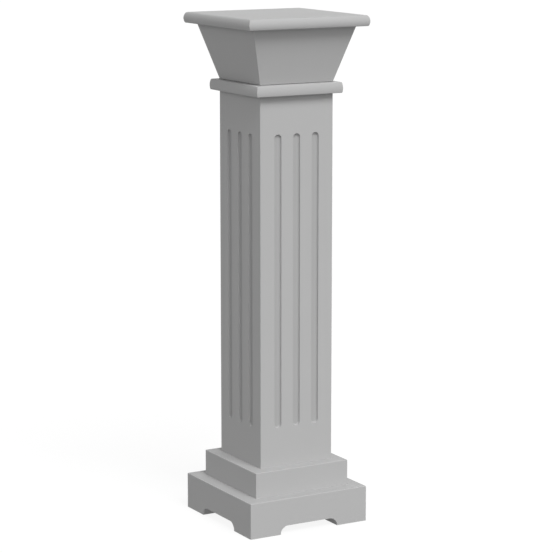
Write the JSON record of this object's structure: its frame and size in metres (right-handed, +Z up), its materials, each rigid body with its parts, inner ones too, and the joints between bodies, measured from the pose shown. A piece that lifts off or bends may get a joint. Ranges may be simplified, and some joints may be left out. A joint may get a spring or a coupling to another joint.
{
  "type": "square pedestal",
  "caption": "Square column pedestal: a stepped plinth on bracket feet, a hollow fluted shaft, a thin collar, a flared capital and a flat top board.",
  "frame": {"origin": "centre of the plinth's underside, level with the undersides of the feet", "axes": "+Z up along the shaft; -Y out of the front, the broad lit side in the picture; +X to the right seen from the front"},
  "size_m": [0.2014, 0.2014, 0.762],
  "materials": {
    "grey_paint": "wood fibreboard sprayed with plain light grey matt paint, all joints filled"
  },
  "bodies": {
    "root": {"plinth": "grey_paint", "step": "grey_paint", "shaft_front": "grey_paint", "shaft_right": "grey_paint", "shaft_back": "grey_paint", "shaft_left": "grey_paint", "collar": "grey_paint", "capital_front": "grey_paint", "capital_right": "grey_paint", "capital_back": "grey_paint", "capital_left": "grey_paint", "top_board": "grey_paint"}
  },
  "joints": []
}
